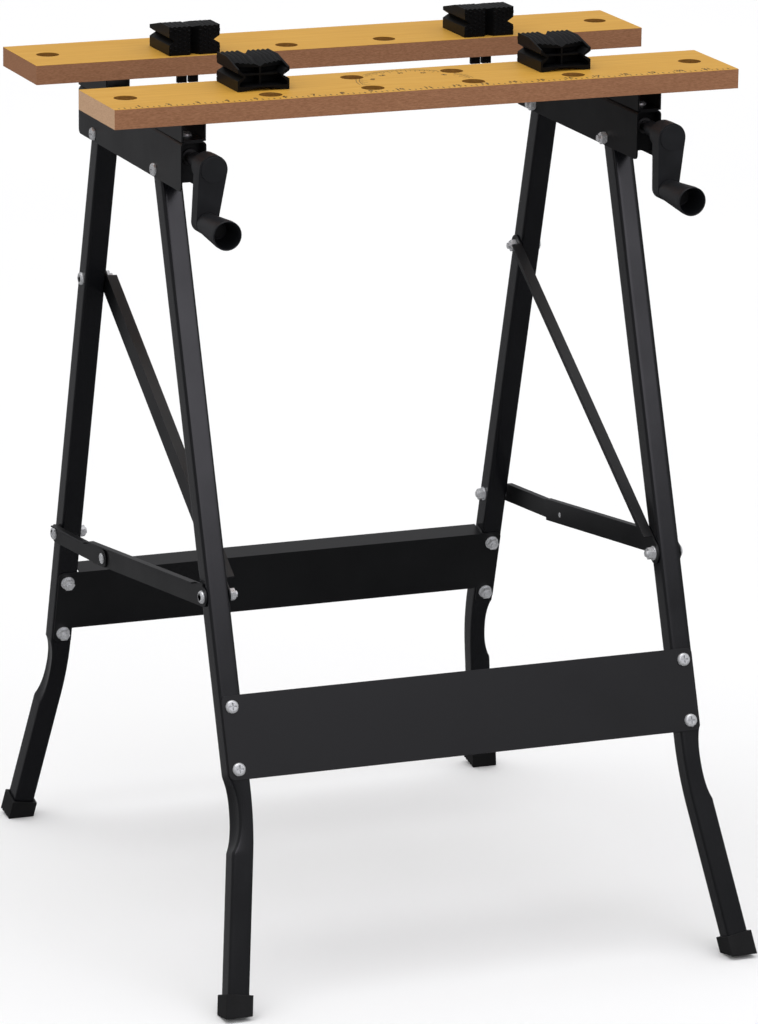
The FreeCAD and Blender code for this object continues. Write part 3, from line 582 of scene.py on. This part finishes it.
def print_protractor():
    """Two half circles with ticks each five degrees inside them. Nothing is printed over the holes."""
    ink = Print()
    strokes = []
    for radius in ARC_R:
        for degrees in range(0, 180, 2):
            strokes.append((heading(degrees) * radius, heading(degrees + 2) * radius, ARC_W))
    for degrees in range(0, 181, 5):
        way = heading(degrees)
        deep = DEGREE_IN if degrees % 10 == 0 else HALF_DEGREE_IN
        strokes.append((way * (ARC_R[1] - DEGREE_OFF), way * (ARC_R[1] - deep), DEGREE_W))
    for start, stop, width in strokes:
        start, stop = PROTRACTOR + start, PROTRACTOR + stop
        if clear_of_holes(start) and clear_of_holes(stop):
            ink.bar(start, stop, width)
    for degrees in range(30, 151, 30):
        spot = PROTRACTOR + heading(degrees) * (ARC_R[1] - LABEL_IN)
        if clear_of_holes(spot):
            ink.text(str(degrees), spot.x, spot.y, LABEL_H, math.radians(degrees - 90))
    ink.finish("protractor_print")


print_scale()
print_protractor()


# Knurled clamp faces of the pegs

KNURL_COLUMNS, KNURL_ROWS = 5, 7
KNURL_X, KNURL_Z = 5.6 * MM, 2.6 * MM              # the first column and row
KNURL_STEP_X, KNURL_STEP_Z = 4.45 * MM, 3.9 * MM
KNURL_STAGGER = 1.6 * MM
KNURL_BASE, KNURL_TIP = 1.45 * MM, 0.75 * MM       # half widths
KNURL_TALL, KNURL_SUNK = 0.7 * MM, 0.2 * MM        # out of the face, and into it
KNURL_TOP = 25.0 * MM
WAIST_Z, WAIST_X = 13.3 * MM, 14.5 * MM            # the notch at the waist starts here
WAIST_SLOPE = 0.75


def knurl(side, end):
    """Rows of staggered blunt pyramids on a peg's clamp face."""
    peg = side + "_" + end + "_peg"
    low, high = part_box(peg)
    mid = (low.x + high.x) / 2
    face_y, way = (low.y, -1) if end == "rear" else (high.y, 1)
    rims = ((KNURL_BASE, face_y - way * KNURL_SUNK), (KNURL_TIP, face_y + way * KNURL_TALL))
    corners = ((-1, -1), (1, -1), (1, 1), (-1, 1))
    points, faces = [], []
    for column in range(KNURL_COLUMNS):
        for row in range(KNURL_ROWS):
            x = KNURL_X + column * KNURL_STEP_X
            up = KNURL_Z + row * KNURL_STEP_Z + column % 2 * KNURL_STAGGER
            if abs(up - WAIST_Z) < (x - WAIST_X) * WAIST_SLOPE or up > KNURL_TOP:
                continue
            for s in (-1, 1):
                n = len(points)
                for size, y in rims:
                    for cx, cz in corners:
                        points.append(Vector((mid + s * x + cx * size, y, TOP + up + cz * size)))
                out = [(n + 3, n + 2, n + 1, n), (n + 4, n + 5, n + 6, n + 7)]
                out += [(n + k, n + (k + 1) % 4, n + 4 + (k + 1) % 4, n + 4 + k) for k in range(4)]
                faces += [f if way < 0 else f[::-1] for f in out]
    make_piece(peg + "_knurl", points, faces, PEG, peg, sharp=20)


for side, _ in SIDES:
    for end in ENDS:
        knurl(side, end)


# Clamp screws with real threads

CREST_R = 5.0 * MM
ROOT_R = 4.2 * MM
PITCH = 4.0 * MM
AROUND = 24
RINGS_PER_TURN = 8
PLAIN_END = 55.0 * MM                                  # the thread starts this far from the front end
COLLARS = ((57.3 * MM, 59.7 * MM), (62.3 * MM, 64.7 * MM))
COLLAR_R = 7.5 * MM
COLLAR_BORE = CREST_R - 0.9 * MM
COLLAR_EDGE = 0.4 * MM
TAIL_LEN = 13.0 * MM
TAIL_R = 4.0 * MM
TAIL_EDGE = 0.8 * MM


def thread_height(share):
    """Trapezoid thread: how far up from the root, over one turn."""
    share = share % 1.0
    return min(max(1.9 - abs(share - 0.5) * 6.4, 0), 1)


def thread_ring(middle, y):
    """One ring of the thread, which climbs by a pitch per turn."""
    ring = []
    for k in range(AROUND):
        a = 2 * math.pi * k / AROUND
        radius = ROOT_R + (CREST_R - ROOT_R) * thread_height(y / PITCH - k / AROUND)
        ring.append(middle + Vector((radius * math.cos(a), y, radius * math.sin(a))))
    return ring


def threaded_screw(side, sign):
    """The screw from inside the crank to its turned-down rear end, with the collars at the bearing."""
    low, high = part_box(side + "_clamp_screw")
    middle = Vector((sign * SIDE_X, 0, SCREW_Z))
    points, faces = [], []
    step = PITCH / RINGS_PER_TURN
    stations = [low.y + k * step for k in range(int((high.y - TAIL_LEN - low.y) / step) + 1)]
    for y in stations:
        threaded = y > low.y + PLAIN_END
        points += thread_ring(middle, y) if threaded else circle(middle, CREST_R, y, AROUND)
    for radius, y in ((TAIL_R, stations[-1]), (TAIL_R, high.y - TAIL_EDGE), (TAIL_R - TAIL_EDGE, high.y)):
        points += circle(middle, radius, y, AROUND)
    count = len(stations) + 3
    faces += tube_faces(count, AROUND, 0, True)
    faces.append(tuple(range(AROUND)))
    faces.append(tuple(reversed(range((count - 1) * AROUND, count * AROUND))))
    for start, stop in COLLARS:
        n = len(points)
        y0, y1 = low.y + start, low.y + stop
        profile = ((COLLAR_BORE, y0), (COLLAR_R - COLLAR_EDGE, y0), (COLLAR_R, y0 + COLLAR_EDGE),
                   (COLLAR_R, y1 - COLLAR_EDGE), (COLLAR_R - COLLAR_EDGE, y1), (COLLAR_BORE, y1))
        for radius, y in profile:
            points += circle(middle, radius, y, AROUND)
        faces += tube_faces(len(profile), AROUND, n, True)
        last = n + (len(profile) - 1) * AROUND
        faces += [(n + k, n + (k + 1) % AROUND, last + (k + 1) % AROUND, last + k) for k in range(AROUND)]
    body = side + "_crank"
    piece = make_piece(side + "_screw_thread", points, faces, SCREW, body, sharp=40)
    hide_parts(side + "_clamp_screw")


for side, sign in SIDES:
    threaded_screw(side, sign)


# ---------------------------------------------------------------- stage, light and camera

FLOOR_R = 30.0


def stage_floor():
    """A wide pale disc, which shiny parts don't mirror."""
    bm = bmesh.new()
    bmesh.ops.create_circle(bm, cap_ends=True, segments=96, radius=FLOOR_R)
    mesh = bpy.data.meshes.new("floor")
    bm.to_mesh(mesh)
    bm.free()
    f = Finish("floor", (0.92, 0.92, 0.925), 0.8, specular=0.05)
    f.colour(f.mix(f.spread(f.noise(0.8, 2), 0.3, 0.7), (0.915, 0.915, 0.92), (0.93, 0.93, 0.935)))
    mesh.materials.append(f.material)
    floor = bpy.data.objects.new("floor", mesh)
    bpy.context.scene.collection.objects.link(floor)
    floor.visible_glossy = False


LIGHT_AIM = Vector((0.0, 0.0, 0.62))


def softbox(name, way, distance, size, power, tint=(1, 1, 1)):
    """A rectangular area light that looks at the bench."""
    light = bpy.data.lights.new(name, "AREA")
    light.shape = "RECTANGLE"
    light.size, light.size_y = size
    light.energy = power
    light.color = tint
    lamp = bpy.data.objects.new(name, light)
    lamp.location = LIGHT_AIM + Vector(way).normalized() * distance
    lamp.rotation_euler = (LIGHT_AIM - lamp.location).to_track_quat("-Z", "Y").to_euler()
    bpy.context.scene.collection.objects.link(lamp)


def overhead(strength):
    """A broad soft light from above, the main light on the tops and the floor."""
    light = bpy.data.lights.new("overhead", "SUN")
    light.energy = strength
    light.angle = math.radians(50)
    lamp = bpy.data.objects.new("overhead", light)
    lamp.rotation_euler = (math.radians(4), math.radians(-6), 0)
    bpy.context.scene.collection.objects.link(lamp)


SKY_LIGHT = 0.78          # what matt surfaces get from all round
# Brightness that shiny surfaces mirror, from below (-1) to straight above (1)
MIRRORED = ((-0.9, 0.07), (-0.25, 0.10), (0.0, 0.20), (0.5, 0.30), (0.9, 0.5), (1.0, 0.6))
BEHIND = 0.3              # how much higher up the mirrored studio looks toward its back


def sky():
    """Even light for matt surfaces; shiny ones mirror a studio that is dark below and bright above."""
    world = bpy.data.worlds.new("studio")
    world.use_nodes = True
    nodes, links = world.node_tree.nodes, world.node_tree.links
    place = nodes.new("ShaderNodeTexCoord")
    parts = nodes.new("ShaderNodeSeparateXYZ")
    links.new(place.outputs["Generated"], parts.inputs["Vector"])
    back = nodes.new("ShaderNodeMath")
    back.operation = "MAXIMUM"
    back.inputs[1].default_value = 0.0
    links.new(parts.outputs["Y"], back.inputs[0])
    lift = nodes.new("ShaderNodeMath")
    lift.operation = "MULTIPLY_ADD"
    lift.inputs[1].default_value = BEHIND
    links.new(back.outputs["Value"], lift.inputs[0])
    links.new(parts.outputs["Z"], lift.inputs[2])
    height = nodes.new("ShaderNodeMapRange")
    height.inputs["From Min"].default_value = -1.0
    height.inputs["From Max"].default_value = 1.0
    links.new(lift.outputs["Value"], height.inputs["Value"])
    ramp = nodes.new("ShaderNodeValToRGB")
    for k, (z, value) in enumerate(MIRRORED):
        stop = ramp.color_ramp.elements[k] if k < 2 else ramp.color_ramp.elements.new((z + 1) / 2)
        stop.position = (z + 1) / 2
        stop.color = (value, value, value * 1.03, 1)
    links.new(height.outputs["Result"], ramp.inputs["Fac"])
    path = nodes.new("ShaderNodeLightPath")
    choose = nodes.new("ShaderNodeMix")
    choose.data_type = "RGBA"
    choose.inputs[6].default_value = (SKY_LIGHT, SKY_LIGHT, SKY_LIGHT, 1)
    links.new(path.outputs["Is Glossy Ray"], choose.inputs[0])
    links.new(ramp.outputs["Color"], choose.inputs[7])
    links.new(choose.outputs[2], nodes["Background"].inputs["Color"])
    bpy.context.scene.world = world


LENS = 206.9
CAMERA_AIM = Vector((9.7, 0.0, 362.8)) * MM
CAMERA_FORWARD = Vector((0.35693, 0.89694, -0.26101))
CAMERA_AWAY = 5489.4 * MM
CAMERA_ROLL = math.radians(0.60)


def camera():
    """The main view, with a slight roll."""
    forward = CAMERA_FORWARD.normalized()
    right = forward.cross(Vector((0, 0, 1))).normalized()
    up = right.cross(forward)
    across = right * math.cos(CAMERA_ROLL) + up * math.sin(CAMERA_ROLL)
    upward = up * math.cos(CAMERA_ROLL) - right * math.sin(CAMERA_ROLL)
    lens = bpy.data.cameras.new("camera")
    lens.lens = LENS
    lens.clip_end = 60
    eye = bpy.data.objects.new("camera", lens)
    place = Matrix((across, upward, -forward)).transposed().to_4x4()
    place.translation = CAMERA_AIM - forward * CAMERA_AWAY
    eye.matrix_world = place
    bpy.context.scene.collection.objects.link(eye)
    bpy.context.scene.camera = eye


stage_floor()
sky()
overhead(strength=1.0)
softbox("key", way=(0.225, -0.86, 0.43), distance=3.0, size=(1.6, 1.0), power=7.6, tint=(1.0, 0.97, 1.08))
camera()
bpy.context.scene.view_settings.view_transform = "Standard"
